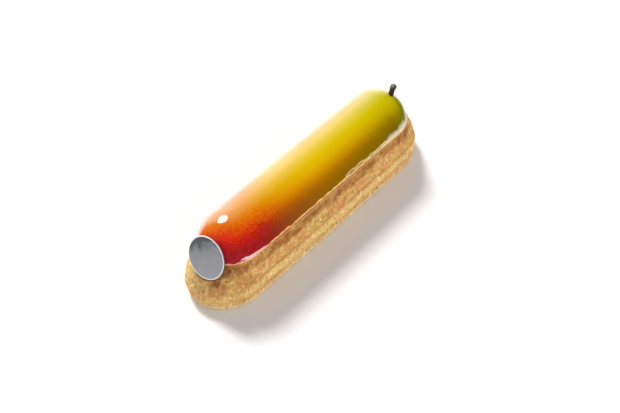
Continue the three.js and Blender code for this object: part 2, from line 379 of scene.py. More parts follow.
def plaque_matrix():
    """The plaque's place, for a disc whose face lies at the origin and looks along +Z."""
    lean = Matrix.Rotation(PLAQUE_LEAN - math.pi / 2, 4, "Y")
    return Matrix.Translation(PLAQUE_FACE) @ Matrix.Rotation(PLAQUE_TURN, 4, "Z") @ lean


def from_plaque(points):
    """The plaque's normal, and each point's height above its face and distance from its axis."""
    normal = np.array(plaque_matrix().to_3x3().col[2])
    offset = points - np.array(PLAQUE_FACE)
    depth = offset @ normal
    return normal, depth, np.linalg.norm(offset - depth[..., None] * normal, axis=-1)


def clear_of_plaque(points):
    """Points moved back along the plaque's normal where they would show through it."""
    normal, depth, radius = from_plaque(points)
    inside = 1 - smoothstep(radius - PLAQUE_RADIUS, *PLAQUE_CLEAR)
    excess = np.clip(depth + PLAQUE_THICKNESS + PLAQUE_SEAT, 0, None)
    return points - (inside * excess)[..., None] * normal


# Choux


def choux_rows():
    """Half-width and height of each row: out along the underside, up the wall and in over the top."""
    wall = spline(np.array(WALL), CHOUX_WALL)
    half_width = CHOUX_HALF_WIDTH - wall[:, 0]
    under = half_width[0] * np.linspace(0, 1, CHOUX_UNDER, endpoint=False)
    share, rise = np.array(CHOUX_TOP).T
    widths = np.concatenate((under, half_width, half_width[-1] * share))
    heights = np.concatenate((0 * under, wall[:, 1], SEAT_HEIGHT + rise))
    return widths, heights


def choux_grid():
    """The choux's smooth surface, row by row."""
    half_width, height = choux_rows()
    share = half_width / CHOUX_HALF_WIDTH
    rise = np.clip((height - RIDGE_HEIGHT) / (SEAT_HEIGHT - RIDGE_HEIGHT), 0, 1)
    tuck = NEAR_TUCK * np.clip(1 - height / RIDGE_HEIGHT, 0, 1)
    near_tip = -LENGTH / 2 + NEAR_CAP * (1 - share) + NEAR_LEAN * rise**NEAR_LEAN_POWER + tuck
    far_tip = LENGTH / 2 - FAR_CAP * (1 - share) - FAR_LEAN * rise**FAR_LEAN_POWER
    x, y = outline(near_tip, far_tip, NEAR_CAP * share, FAR_CAP * share, half_width, CHOUX_SIDE, CHOUX_CAP)
    return np.dstack((x, y * bulge(x), height[:, None] * (1 - sag(x) / SEAT_HEIGHT)))


def piped_line(wall, line, seed):
    """How strongly a piped line shows at each wall point: it wanders and fades along the way."""
    height, half_height, _, wander, near = line
    ring = wall[len(wall) // 2] * FLAT
    centre = height + wander * noise_field(ring, LINE_WANDER_SIZE, LINE_OCTAVES, seed)
    broken = noise_field(ring, LINE_BREAK_SIZE, LINE_OCTAVES, seed + LINE_BREAK_SEED)
    strength = LINE_STRENGTH + LINE_BREAK * broken
    strength = strength * (near + (1 - near) * smoothstep(ring[:, 0], *LINE_NEAR))
    return strength * hump((wall[..., 2] - centre) / half_height)


def patches(wall, listed):
    """How strongly each wall point lies in one of the soft round patches listed."""
    total = np.zeros(wall.shape[:2])
    for place, radius, strength in listed:
        distance = np.linalg.norm(wall - place, axis=2)
        total = np.maximum(total, strength * hump(distance / radius))
    return total


def plaque_shadow_share(wall):
    """How strongly each wall point takes the painted shadow along the plaque's edge."""
    _, depth, radius = from_plaque(wall)
    beside = 1 - smoothstep(radius - PLAQUE_RADIUS, *SHADOW_LINE_REACH)
    return beside * (1 - smoothstep(np.abs(depth + PLAQUE_THICKNESS), 0, SHADOW_LINE_DEPTH))


def crust_relief(wall):
    """Relief of the wall along its normals, and the shares that tint it."""
    rng = np.random.default_rng(SEED)
    height = wall[..., 2]
    shown = [piped_line(wall, line, LINE_SEED_STEP * k) for k, line in enumerate(LINES)]
    lip, crease, ridge, groove, upper_groove = shown
    piped = sum(share * line[2] for share, line in zip(shown, LINES))
    pits = scatter(wall, PIT_COUNT, PIT_RADIUS, PIT_DEPTH, rng)
    blisters = scatter(wall, BLISTER_COUNT, BLISTER_RADIUS, BLISTER_RISE, rng)
    rough = blisters - pits
    for k, (size, octaves, rise) in enumerate((LUMPS, KNOBS, GRAIN)):
        rough = rough + rise * noise_field(wall, size, octaves, RELIEF_SEED_STEP * k)
    foot = smoothstep(height, *RELIEF_FOOT)
    rim = 1 - RELIEF_RIM_LOSS * smoothstep(height, *RELIEF_RIM)
    tints = {
        "groove": CREASE_TINT * crease + groove + UPPER_TINT * upper_groove,
        "ridge": ridge,
        "lip": lip,
        "pit": pits / PIT_DEPTH[1],
        "blister": blisters / BLISTER_RISE[1],
        "scorch": patches(wall, SCORCHES),
        # Paler patches, partly painted light at the near end
        "pale_and_lit": patches(wall, PALE_AND_LIT_PATCHES),
        # The tuck share is the painted shadow of the plaque's edge on the crust
        "tuck": plaque_shadow_share(wall),
    }
    return piped * smoothstep(height, *LINE_FOOT) + foot * rim * rough, tints


def make_choux():
    """The choux, with relief on its wall and shallow dents under it."""
    points = choux_grid()
    normals = grid_normals(points)
    rows = slice(CHOUX_UNDER, CHOUX_UNDER + CHOUX_WALL)
    relief, tints = crust_relief(points[rows])
    attributes = {}
    for label, values in tints.items():
        attributes[label] = np.zeros(points.shape[:2])
        attributes[label][rows] = values
    under = points[1:CHOUX_UNDER]
    dent = np.clip(noise_field(under, *UNDERSIDE_NOISE), 0, None)
    fade = np.linspace(1, 0, len(under))[:, None] ** UNDERSIDE_FADE_POWER
    points[1:CHOUX_UNDER, :, 2] += UNDERSIDE_DENT * dent * fade
    points[rows] += normals[rows] * relief[..., None]
    points[..., 2] = np.clip(points[..., 2], 0, None)
    return mesh_object("choux_crust", clear_of_plaque(points), attributes)


# Dome


def dome_angles():
    """Section angle of each row, from the underside to the crown, close together where the skirt is."""
    foot_top = math.asin(DOME_FOOT_TOP / (DOME_CROWN - SEAT_HEIGHT))
    under = np.zeros(len(DOME_UNDER))
    foot = np.linspace(0, foot_top, DOME_FOOT_LEVELS, endpoint=False)
    return np.concatenate((under, foot, np.linspace(foot_top, math.pi / 2, DOME_LEVELS)))


def dome_grid(angle):
    """The dome's bare surface, row by row from the middle of its underside to its crown."""
    share = np.cos(angle)
    share[: len(DOME_UNDER)] = DOME_UNDER
    share[-1] = 0.0
    height = SEAT_HEIGHT + (DOME_CROWN - SEAT_HEIGHT) * np.sin(angle)
    near_tip = DOME_NEAR_TIP + DOME_NEAR_CAP * (1 - share)
    far_tip = DOME_FAR_TIP - DOME_FAR_CAP * (1 - share)
    caps = DOME_NEAR_CAP * share, DOME_FAR_CAP * share
    x, y = outline(near_tip, far_tip, *caps, DOME_HALF_WIDTH * share, DOME_SIDE, DOME_CAP)
    return np.dstack((x, DOME_SHIFT + y * bulge(x), height[:, None] - sag(x)))


def film_rise(foot):
    """How far the film climbs the dome at each station of its foot: the wedge, the drips and the pool."""
    x = foot[:, 0]
    front = smoothstep(-foot[:, 1], 0, DOME_HALF_WIDTH / 2)
    wedge = np.clip((WEDGE_TAIL - x) / (WEDGE_TAIL - WEDGE_PEAK), 0, 1)
    wedge = wedge * smoothstep(x, WEDGE_TIP, WEDGE_PEAK)
    drips = np.clip(DRIP_LEVEL + DRIP_WAVE * noise_field(foot, *DRIP_NOISE), 0, None)
    drips = drips * smoothstep(x, *DRIP_START)
    pool = hump((x - POOL_PLACE) / POOL_WIDTH) * (1 - smoothstep(x, *POOL_END))
    pool = pool * (1 + POOL_WAVE * noise_field(foot, *POOL_NOISE))
    return WEDGE_RISE * np.sqrt(wedge) * front, DRIP_RISE * drips, POOL_RISE * pool * front


def film_cover(points, foot, rise):
    """How far the film hides the spray at each point."""
    wedge, drips, pool = film_rise(foot)
    ragged = rise + FILM_RAGGED * noise_field(points, *FILM_RAGGED_NOISE)
    slot = smoothstep(FORK_END - points[..., 0], *FORK_OPENING) * hump((ragged - FORK_RISE) / FORK_SIZE)
    brushed = 1 - smoothstep(ragged, wedge - FILM_SOFT, wedge + FILM_SOFT)
    brushed = WEDGE_COVER * brushed * smoothstep(wedge, *WEDGE_SHOWN) * (1 - slot)
    line = DRIP_EDGE_COVER * hump((ragged - drips) / DRIP_EDGE) * smoothstep(drips, *DRIP_SHOWN)
    under = DRIP_COVER * (1 - smoothstep(ragged, drips - FILM_SOFT, drips))
    pooled = 1 - smoothstep(ragged / np.maximum(pool, POOL_LEAST), *POOL_FADE)
    pooled = POOL_COVER * pooled * smoothstep(pool, *POOL_SHOWN)
    return np.maximum.reduce((brushed, line, under, pooled))


def bead_cover(points, foot, rise):
    """How far the pale bead hides the spray at each point."""
    top = BEAD_RISE + (BEAD_FAR_RISE - BEAD_RISE) * smoothstep(foot[:, 0], *BEAD_GROWTH)
    top = top * (1 + BEAD_WAVE * noise_field(foot, *BEAD_WAVE_NOISE))
    ragged = rise + BEAD_RAGGED * noise_field(points, *BEAD_RAGGED_NOISE)
    return 1 - smoothstep(ragged, top - BEAD_SOFT, top + BEAD_SOFT)


def skirt_reach(foot, rise):
    """How far the gathered glaze stands out from the dome."""
    far = smoothstep(foot[:, 0], *SKIRT_GROWTH) * smoothstep(-foot[:, 1], *SKIRT_FRONT)
    reach = SKIRT_REACH + (SKIRT_FAR_REACH - SKIRT_REACH) * far
    reach = reach + SKIRT_WAVE * noise_field(foot, *SKIRT_WAVE_NOISE)
    roll = np.sqrt(1 - SKIRT_UNDERCUT * (1 - np.clip(rise / SKIRT_ROLL, 0, 1)) ** 2)
    return roll * reach * hump(rise / SKIRT_FADE)


def make_dome():
    """The glazed dome, with the shares that tint its spray, its film and its bead."""
    angle = dome_angles()
    points = dome_grid(angle)
    normals = grid_normals(points)
    x, y = points[..., 0], points[..., 1]
    foot = points[len(DOME_UNDER)]
    rise = points[..., 2] + sag(x) - SEAT_HEIGHT
    film = film_cover(points, foot, rise)
    reach = skirt_reach(foot, rise) + FILM_THICKNESS * film
    swell = DOME_WAVE * noise_field(points, *DOME_WAVE_NOISE) * smoothstep(rise, *DOME_WAVE_START)
    swell[-1] = 0
    side = 1 - angle / (math.pi / 2)
    lean = SPRAY_LEAN * (1 - smoothstep(x, *SPRAY_NEAR)) * smoothstep(y, *SPRAY_NEAR_BACK)
    deeper = SPRAY_DEEPER * smoothstep(x, *SPRAY_FAR) * smoothstep(y, *SPRAY_FAR_BACK)
    attributes = {
        "along": (x - DOME_NEAR_TIP) / (DOME_FAR_TIP - DOME_NEAR_TIP),
        "side": side[:, None] - lean + deeper,
        # How much of the painted shade each point takes: less on the +Y side
        "shade": 1 - SHADE_LESS * smoothstep(y, *SHADE_BACK),
        "film": film,
        "bead": bead_cover(points, foot, rise),
    }
    points = points + unit(normals * FLAT) * reach[..., None] + normals * swell[..., None]
    return mesh_object("glaze", clear_of_plaque(points), attributes)


# Stalk and plaque


def lathe(profile, sides):
    """A grid of points round the local Z axis from radius and height pairs, lowest row first."""
    turn = np.linspace(0, 2 * math.pi, sides, endpoint=False)
    radius = profile[:, :1]
    height = np.broadcast_to(profile[:, 1:], (len(profile), sides))
    return np.dstack((radius * np.cos(turn), radius * np.sin(turn), height))


def arc(centre_radius, centre_height, size, angles, count):
    """Radius and height pairs on an arc between two angles in degrees."""
    turn = np.radians(np.linspace(*angles, count))
    return np.column_stack((centre_radius + size * np.cos(turn), centre_height + size * np.sin(turn)))


def moved(points, matrix):
    """Points put in the place that a matrix gives."""
    turn = np.array(matrix.to_3x3())
    return points @ turn.T + np.array(matrix.translation)


def plaque_profile(face):
    """Radius and height pairs of the plaque: its back, its round edge, the step and the face inside it."""
    back = -PLAQUE_THICKNESS
    inner = PLAQUE_RADIUS - PLAQUE_EDGE
    rows = [[(radius, back) for radius in np.linspace(0, inner, PLAQUE_BACK_ROWS)]]
    rows += [arc(inner, back + PLAQUE_EDGE, PLAQUE_EDGE, PLAQUE_BACK_ANGLES, PLAQUE_EDGE_ROWS)]
    rows += [arc(inner, -PLAQUE_EDGE, PLAQUE_EDGE, PLAQUE_FRONT_ANGLES, PLAQUE_EDGE_ROWS)]
    rows += [[(face + PLAQUE_STEP, -PLAQUE_STEP_TOP), (face, -PLAQUE_RECESS / 2)]]
    rows += [[(face - PLAQUE_STEP, -PLAQUE_RECESS)]]
    inside = np.linspace(face - PLAQUE_FACE_INSET, 0, PLAQUE_FACE_ROWS)
    rows += [[(radius, -PLAQUE_RECESS) for radius in inside]]
    return np.vstack(rows)


def make_plaque():
    """The plaque, not quite round, with shares for its face, its white rim and the way up."""
    face = PLAQUE_RADIUS - PLAQUE_RIM
    points = lathe(plaque_profile(face), PLAQUE_SIDES)
    radius = np.linalg.norm(points[..., :2], axis=2)
    edge = smoothstep(radius, PLAQUE_WOBBLE_START * PLAQUE_RADIUS, PLAQUE_RADIUS)
    wobble = PLAQUE_WOBBLE * noise_field(points * FLAT, *PLAQUE_WOBBLE_NOISE)
    points[..., :2] *= (1 + edge * wobble / PLAQUE_RADIUS)[..., None]
    front = points[..., 2] > -PLAQUE_WHITE_DEPTH
    attributes = {
        "face": (front & (radius < face - PLAQUE_STEP / 2)).astype(float),
        "white": front.astype(float),
        "up": points[..., 0] / PLAQUE_RADIUS,
        "across": points[..., 1] / PLAQUE_RADIUS,
    }
    return mesh_object("plaque_disc", moved(points, plaque_matrix()), attributes)


def stalk_profile(length):
    """Radius and height pairs of the stalk: the rod, its rounded tip and the cut end."""
    share = np.linspace(0, 1, STALK_LEVELS)
    radius = STALK_RADIUS + (STALK_TIP_RADIUS - STALK_RADIUS) * smoothstep(share, *STALK_FLARE)
    rod = np.column_stack((radius, (length - STALK_ROD_DROP) * share))
    centre = STALK_TIP_RADIUS - STALK_ROUND, length - STALK_ROUND_DROP
    rounding = arc(*centre, STALK_ROUND, STALK_ROUND_ANGLES, STALK_ROUND_ROWS)
    inward = np.linspace(STALK_TIP_RADIUS - STALK_CUT_INSET, 0, STALK_CUT_ROWS)
    hollow = np.linspace(0, STALK_CUT_HOLLOW, STALK_CUT_ROWS)
    return np.vstack(((0.0, 0.0), rod, rounding, np.column_stack((inward, length - hollow))))


def make_stalk():
    """The stalk: a fibrous, bent rod, with shares for its rise, its fibres and the side where its tip takes
    painted light.
    """
    length = STALK_SUNK + STALK_SHOWING
    points = lathe(stalk_profile(length), STALK_SIDES)
    turn = np.arctan2(points[..., 1], points[..., 0])
    rise = points[..., 2] / length
    fibre = np.cos(STALK_FIBRES * (turn + STALK_TWIST * rise))
    fibre = fibre * (1 + noise_field(points, *STALK_FIBRE_NOISE))
    rough = STALK_ROUGH * noise_field(points, *STALK_ROUGH_NOISE)
    points[..., :2] *= (1 + STALK_FIBRE_DEPTH * fibre + rough)[..., None]
    points[..., 0] += STALK_BEND * rise**2
    chips = noise_field(points, *STALK_CHIP_NOISE) * smoothstep(rise, *STALK_CHIP_PLACE)
    points[..., 2] += STALK_CHIP * chips
    place = Matrix.Translation(STALK_BASE) @ Matrix.Rotation(STALK_LEAN, 4, "Y")
    place = place @ Matrix.Translation((0, 0, -STALK_SUNK))
    # The pale share is painted light on the side that faces the camera's left
    attributes = {"rise": rise, "fibre": fibre, "pale": 0.5 + 0.5 * np.cos(turn - STALK_LIT_TURN)}
    return mesh_object("stalk_rod", moved(points, place), attributes)


# Materials

# The Mix node's colour sockets, which come after those for floats and vectors
MIX_FACTOR, MIX_FIRST, MIX_SECOND, MIX_RESULT = 0, 6, 7, 2
# How a scattered spot fades, by chance and from its core outwards
SPOT_FADE, SPOT_CORE = 0.6, 0.4
EVEN = (1.0, 1.0, 1.0)


class Shading:
    """A node material in the making."""

    def __init__(self, name):
        self.material = bpy.data.materials.new(name)
        self.material.use_nodes = True
        self.tree = self.material.node_tree
        self.shader = self.tree.nodes["Principled BSDF"]
        self.place = self.tree.nodes.new("ShaderNodeTexCoord").outputs["Object"]

    def set(self, socket, value):
        """Links a socket to another one, or gives it a plain value."""
        if isinstance(value, bpy.types.NodeSocket):
            self.tree.links.new(value, socket)
        else:
            socket.default_value = value

    def fill(self, node, inputs):
        """Sets a node's named inputs."""
        for label, value in inputs.items():
            self.set(node.inputs[label], value)
        return node

    def node(self, kind, inputs):
        """A new node with its named inputs set."""
        return self.fill(self.tree.nodes.new(kind), inputs)

    def attribute(self, label):
        """A share that is kept on the mesh's points."""
        made = self.tree.nodes.new("ShaderNodeAttribute")
        made.attribute_name = label
        return made.outputs["Fac"]

    def noise(self, size, detail, seed, squeeze=EVEN):
        """Soft noise with features of the given size, drawn out along an axis squeezed to under one."""
        place = self.tree.nodes.new("ShaderNodeVectorMath")
        place.operation = "MULTIPLY"
        self.set(place.inputs[0], self.place)
        self.set(place.inputs[1], squeeze)
        made = self.tree.nodes.new("ShaderNodeTexNoise")
        made.noise_dimensions = "4D"
        inputs = {"Vector": place.outputs["Vector"], "W": seed, "Scale": 1 / (size * MM), "Detail": detail}
        return self.fill(made, inputs).outputs["Fac"]

    def spots(self, size, seed, share, reach):
        """Scattered soft round spots: a share of the cells of the given size hold one."""
        cells = self.tree.nodes.new("ShaderNodeTexVoronoi")
        cells.voronoi_dimensions = "4D"
        self.fill(cells, {"Vector": self.place, "W": seed, "Scale": 1 / (size * MM)})
        chance = self.node("ShaderNodeSeparateColor", {"Color": cells.outputs["Color"]}).outputs["Red"]
        shown = self.spread(chance, 1 - share, 1 - SPOT_FADE * share)
        return self.math("MULTIPLY", self.spread(cells.outputs["Distance"], reach, SPOT_CORE * reach), shown)

    def spread(self, value, low, high, start=0.0, end=1.0):
        """A share that goes softly from start to end as a value goes from low to high."""
        made = self.node("ShaderNodeMapRange", {"Value": value, "From Min": low, "From Max": high})
        made.interpolation_type = "SMOOTHSTEP"
        self.set(made.inputs["To Min"], start)
        self.set(made.inputs["To Max"], end)
        return made.outputs["Result"]

    def math(self, operation, *values):
        """Arithmetic on shares."""
        made = self.tree.nodes.new("ShaderNodeMath")
        made.operation = operation
        for socket, value in zip(made.inputs, values):
            self.set(socket, value)
        return made.outputs["Value"]

    def mix(self, factor, first, second, blend="MIX"):
        """Two colours blended by a factor."""
        made = self.tree.nodes.new("ShaderNodeMix")
        made.data_type = "RGBA"
        made.blend_type = blend
        self.set(made.inputs[MIX_FACTOR], factor)
        self.set(made.inputs[MIX_FIRST], first)
        self.set(made.inputs[MIX_SECOND], second)
        return made.outputs[MIX_RESULT]

    def layer(self, color, value, growth, tint):
        """A colour with a tint laid over it as a value grows."""
        return self.mix(self.spread(value, *growth), color, tint)

    def ramp(self, value, stops):
        """The colour at a value between listed stops."""
        made = self.node("ShaderNodeValToRGB", {"Fac": value})
        ramp = made.color_ramp
        while len(ramp.elements) < len(stops):
            ramp.elements.new(1.0)
        for element, (position, color) in zip(ramp.elements, stops):
            element.position = position
            element.color = color
        return made.outputs["Color"]

    def bump(self, height, depth, strength):
        """A normal bent by a height."""
        made = self.node("ShaderNodeBump", {"Height": height, "Distance": depth * MM, "Strength": strength})
        return made.outputs["Normal"]

    def finish(self, inputs):
        """The material, with its shader's named inputs set."""
        self.fill(self.shader, inputs)
        return self.material


# Crust
CRUST_PEACH = srgb(224, 160, 92)
CRUST_STRAW = srgb(218, 176, 98)
CRUST_CREAM = srgb(236, 198, 130)
CRUST_PALE = srgb(243, 207, 133)
CRUST_LIP = srgb(255, 230, 178)
CRUST_TAN = srgb(192, 136, 76)
CRUST_BLOTCH = srgb(184, 122, 58)
CRUST_BROWN = srgb(160, 99, 41)
CRUST_DARK = srgb(120, 72, 34)
CRUST_SCORCH = srgb(141, 75, 33)
# Small spots on the crust: colour, cell size, share of the cells, reach in cells and strength
CRUST_SPOTS = (
    (srgb(250, 226, 178), 1.7, 0.2, 0.5, 0.6),
    (srgb(186, 108, 62), 2.4, 0.25, 0.5, 0.5),
    (srgb(126, 80, 42), 2.0, 0.16, 0.45, 0.6),
)
# Its noises, with the stroke's squeeze as the last value
HUE_NOISE = (7.0, 1.5, 1.0)
CLOUD_NOISE = (3.4, 2.0, 2.0)
VALUE_NOISE = (1.4, 2.0, 3.0)
STROKE_NOISE = (0.9, 1.0, 4.0, (1.0, 1.0, 0.35))
GRAIN_NOISE = (0.8, 3.0, 5.0)
BAND_NOISE = (6.5, 2.0, 6.0)
SCORCH_NOISE = (1.8, 2.0, 7.0)
# How each layer grows: the values that it grows between, and its shares there if not 0 and 1
STRAW_GROWTH = (0.36, 0.64)
CREAM_GROWTH = (0.5, 0.7, 0.0, 0.7)
BLOTCH_GROWTH = (0.46, 0.3, 0.0, 0.6)
PAINTED_FOOT_LIGHT = (7.0 * MM, 0.0, 0.0, 0.4)
RIDGE_GROWTH = (0.05, 0.8, 0.0, 0.9)
GROOVE_GROWTH = (0.15, 1.1, 0.0, 0.65)
LIP_GROWTH = (0.15, 1.0, 0.0, 0.9)
PAINTED_RIM_LIGHT = (23.6 * MM, 25.2 * MM, 0.0, 0.6)
SCORCH_GROWTH = (0.42, 0.58, 0.38, 1.0)
PIT_GROWTH = (0.1, 0.9, 0.0, 0.6)
BLISTER_GROWTH = (0.2, 0.9, 0.0, 0.3)
UNDER_GROWTH = (0.3 * MM, 0.0, 0.0, 0.5)
SHADOW_LINE_GROWTH = (0.1, 0.9, 0.0, 0.8)
# The brown band under the glaze: its wave, its heights, and how the clouds and the pale patches thin it
BAND_WAVE = 4.0 * MM
BAND_GROWTH = (20.4 * MM, 23.2 * MM)
BAND_CLOUD = (0.62, 0.36, 0.5, 0.95)
BAND_PALE_AND_LIT = (0.0, 0.6, 1.0, 0.25)
# How far the fine noises darken and lighten it all
VALUE_RANGE = (0.34, 0.66, 0.84, 1.08)
STROKE_RANGE = (0.34, 0.66, 0.88, 1.07)
CRUST_ROUGHNESS = (0.3, 0.7, 0.62, 0.85)
CRUST_BUMP = (0.25, 0.6)
CRUST_SPECULAR = 0.25


def choux_material():
    """Baked crust: mottled gold, pale on the lip and ridge, brown under the glaze and browned in patches,
    with painted light and painted shade in places.
    """
    s = Shading("choux_crust")
    height = s.node("ShaderNodeSeparateXYZ", {"Vector": s.place}).outputs["Z"]
    hue = s.noise(*HUE_NOISE)
    cloud = s.noise(*CLOUD_NOISE)
    pale_and_lit = s.attribute("pale_and_lit")
    color = s.layer(CRUST_PEACH, hue, STRAW_GROWTH, CRUST_STRAW)
    color = s.layer(color, cloud, CREAM_GROWTH, CRUST_CREAM)
    color = s.layer(color, cloud, BLOTCH_GROWTH, CRUST_BLOTCH)
    # Painted light: the lower wall is lightened towards the foot, as by light thrown up from the floor
    color = s.layer(color, height, PAINTED_FOOT_LIGHT, CRUST_LIP)
    color = s.layer(color, s.attribute("ridge"), RIDGE_GROWTH, CRUST_PALE)
    # The grooves' tan is partly their own colour and partly painted shade in the hollows
    color = s.layer(color, s.attribute("groove"), GROOVE_GROWTH, CRUST_TAN)
    # Paler patches, partly painted light at the near end
    color = s.mix(pale_and_lit, color, CRUST_PALE)
    # The pale lip, its brightness partly painted light from the floor
    color = s.layer(color, s.attribute("lip"), LIP_GROWTH, CRUST_LIP)
    wavy = s.math("MULTIPLY_ADD", s.noise(*BAND_NOISE), BAND_WAVE, height)
    band = s.math("MULTIPLY", s.spread(wavy, *BAND_GROWTH), s.spread(cloud, *BAND_CLOUD))
    band = s.math("MULTIPLY", band, s.spread(pale_and_lit, *BAND_PALE_AND_LIT))
    color = s.mix(band, color, CRUST_BROWN)
    # Painted light: the crust's top just under the glaze is lightened, lifting the shade in the crease there
    color = s.layer(color, height, PAINTED_RIM_LIGHT, CRUST_PEACH)
    for seed, (tint, size, share, reach, strength) in enumerate(CRUST_SPOTS):
        spots = s.math("MULTIPLY", s.spots(size, seed, share, reach), strength)
        color = s.mix(spots, color, tint)
    broken = s.spread(s.noise(*SCORCH_NOISE), *SCORCH_GROWTH)
    color = s.mix(s.math("MULTIPLY", s.attribute("scorch"), broken), color, CRUST_SCORCH)
    color = s.mix(1.0, color, s.spread(s.noise(*VALUE_NOISE), *VALUE_RANGE), "MULTIPLY")
    color = s.mix(1.0, color, s.spread(s.noise(*STROKE_NOISE), *STROKE_RANGE), "MULTIPLY")
    color = s.layer(color, s.attribute("pit"), PIT_GROWTH, CRUST_DARK)
    color = s.layer(color, s.attribute("blister"), BLISTER_GROWTH, CRUST_TAN)
    color = s.layer(color, height, UNDER_GROWTH, CRUST_TAN)
    # Painted shadow along the plaque's lower edge
    color = s.layer(color, s.attribute("tuck"), SHADOW_LINE_GROWTH, CRUST_DARK)
    rough = s.spread(hue, *CRUST_ROUGHNESS)
    normal = s.bump(s.noise(*GRAIN_NOISE), *CRUST_BUMP)
    return s.finish(
        {"Base Color": color, "Roughness": rough, "Normal": normal, "Specular IOR Level": CRUST_SPECULAR}
    )


# Sprayed glaze: colour along the crown, the tint that it takes down the sides, and the painted shade on the
# low flanks
CROWN_SPRAY = (
    (0.0, srgb(236, 127, 18)),
    (0.1, srgb(219, 126, 13)),
    (0.2, srgb(221, 149, 12)),
    (0.3, srgb(221, 172, 9)),
    (0.5, srgb(223, 188, 6)),
    (0.74, srgb(214, 189, 5)),
    (0.9, srgb(198, 186, 4)),
    (1.0, srgb(182, 179, 4)),
)
SIDE_TINT = (
    (0.0, (1.0, 0.05, 1.0, 1.0)),
    (0.2, (0.95, 0.13, 0.9, 1.0)),
    (0.29, (0.97, 0.34, 0.8, 1.0)),
    (0.39, (1.0, 0.46, 0.6, 1.0)),
    (0.55, (1.0, 0.5, 0.5, 1.0)),
    (0.87, (0.8, 0.52, 0.5, 1.0)),
    (1.0, (1.0, 0.9, 0.5, 1.0)),
)
PAINTED_SHADE_TINT = (0.41, 0.53, 0.8, 1.0)
WHITE = (1.0, 1.0, 1.0, 1.0)
CRIMSON = srgb(202, 24, 48)
PLUM = srgb(140, 40, 60)
# Colours of the film and the bead along the dome; the bead's paleness is partly a painted highlight
FILM_TINT = (
    (0.0, srgb(250, 200, 198)),
    (0.15, srgb(250, 208, 202)),
    (0.4, srgb(250, 206, 140)),
    (0.75, srgb(248, 222, 160)),
    (0.88, srgb(226, 220, 204)),
    (1.0, srgb(230, 224, 196)),
)
BEAD_PALE_AND_HIGHLIGHT = (
    (0.0, srgb(248, 164, 124)),
    (0.2, srgb(252, 182, 118)),
    (0.45, srgb(255, 212, 130)),
    (0.8, srgb(255, 222, 150)),
    (1.0, srgb(255, 230, 186)),
)
BEAD_DULL = srgb(206, 150, 84)
BEAD_PAINTED_GLINT = srgb(255, 246, 226)
# A haze that shifts the colours along the dome
HAZE_NOISE, HAZE_SHIFT = (14.0, 2.0, 1.0), 0.05
# How far the near end's spray is speckled, and where along the dome
SPECKLE_NOISE, SPECKLE_RANGE = (1.1, 2.0, 8.0), (0.3, 0.7, -0.07, 0.07)
SPECKLE_ALONG = (0.4, 0.15)
# Where the spray starts and is full down the sides, and where its painted shade does, along the dome
SPRAY_START, SPRAY_FULL = (0.1, 0.5, -0.12, 0.11), (0.1, 0.5, 0.56, 0.69)
PAINTED_SHADE_START, PAINTED_SHADE_FULL = (0.05, 0.2, 0.42, 0.32), 0.84
# The near end's crimson blush and plum foot: how they grow, down the sides and along the dome
BLUSH_NOISE, BLUSH_GROWTH = (2.6, 2.0, 2.0), (0.42, 0.66, 0.0, 0.7)
BLUSH_SIDE, BLUSH_ALONG = (0.32, 0.62), (0.3, 0.08)
PLUM_SIDE, PLUM_ALONG = (0.45, 0.85, 0.0, 0.18), (0.52, 0.3)
# The bead's dull stretches and its flecks of painted glint
DULL_NOISE, DULL_GROWTH, DULL_ALONG = (1.6, 2.0, 6.0), (0.5, 0.7, 0.0, 0.45), (0.85, 0.65, 0.2, 1.0)
GLINT_NOISE, GLINT_GROWTH = (1.0, 1.0, 7.0), (0.56, 0.66, 0.0, 0.55)
RIPPLE_NOISE, RIPPLE_BUMP = (3.0, 1.0, 5.0), (0.05, 0.15)
GLAZE_ROUGHNESS, GLAZE_IOR = 0.06, 1.4


